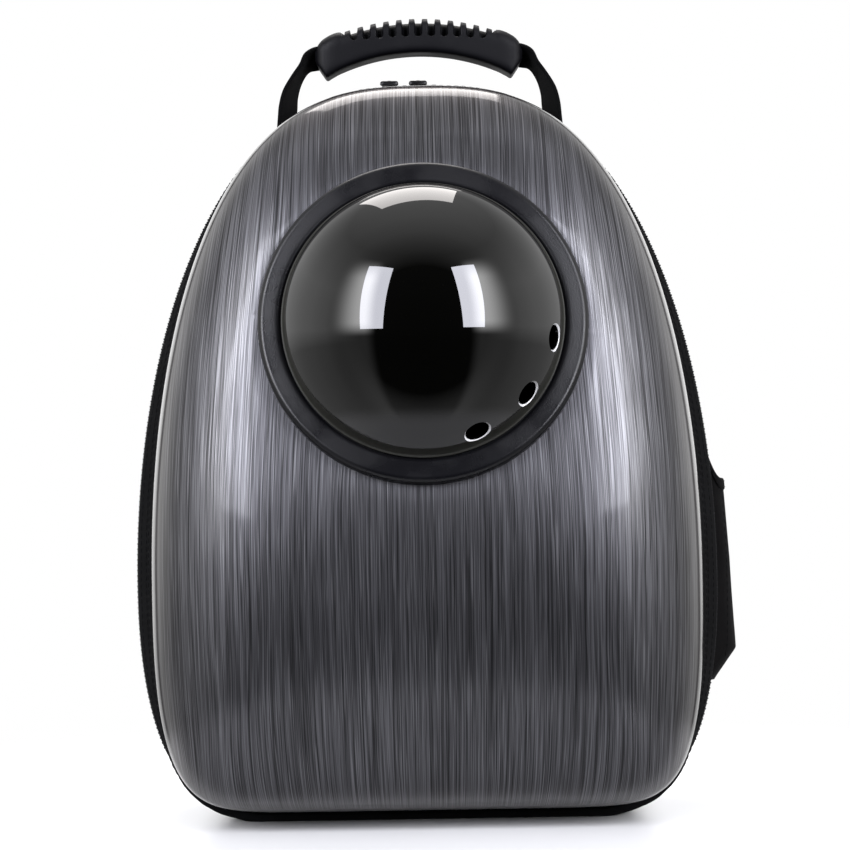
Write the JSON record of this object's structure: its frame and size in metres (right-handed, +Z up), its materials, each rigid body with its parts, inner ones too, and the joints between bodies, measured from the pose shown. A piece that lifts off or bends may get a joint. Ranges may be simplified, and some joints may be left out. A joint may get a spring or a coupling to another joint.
{
  "type": "pet carrier backpack",
  "caption": "Hard-shell pet carrier backpack with a twist-in smoked bubble window, zipped soft rear body, grab handle, side pocket and padded shoulder straps.",
  "frame": {"origin": "middle of the flat base that the carrier stands on", "axes": "+Z up, -Y out of the bubble window's side, +X to the right seen from the front"},
  "size_m": [0.3423, 0.3402, 0.4528],
  "materials": {
    "shell": "gunmetal film with fine vertical brushed streaks under a clear gloss",
    "moulding": "charcoal moulded plastic with a fine grain",
    "bubble": "dark smoked acrylic, polished",
    "fabric": "black woven polyester cloth",
    "webbing": "black ribbed webbing",
    "zip": "black moulded zip teeth and lacquered sliders"
  },
  "bodies": {
    "carrier": {"front_shell": "shell", "rim_binding": "fabric", "zip_tape": "fabric", "zip_chain": "zip", "hinge_strip": "fabric", "rear_body": "fabric", "back_panel": "fabric", "handle_grip": "moulding", "handle_web_left": "webbing", "handle_web_right": "webbing", "zip_slider_left": "zip", "zip_slider_right": "zip", "side_pocket": "fabric", "pocket_hem": "fabric", "shoulder_strap_left": "fabric", "shoulder_strap_right": "fabric", "strap_web_left": "webbing", "strap_web_right": "webbing", "strap_adjuster_left": "moulding", "strap_adjuster_right": "moulding"},
    "window": {"window_ring": "moulding", "bubble_dome": "bubble"}
  },
  "joints": [
    {"name": "window_twist", "type": "hinge", "parent": "carrier", "child": "window", "pos_m": [0, -0.127, 0.2752], "axis": [0, -0.9744, 0.225], "range_deg": [0, 30]}
  ]
}
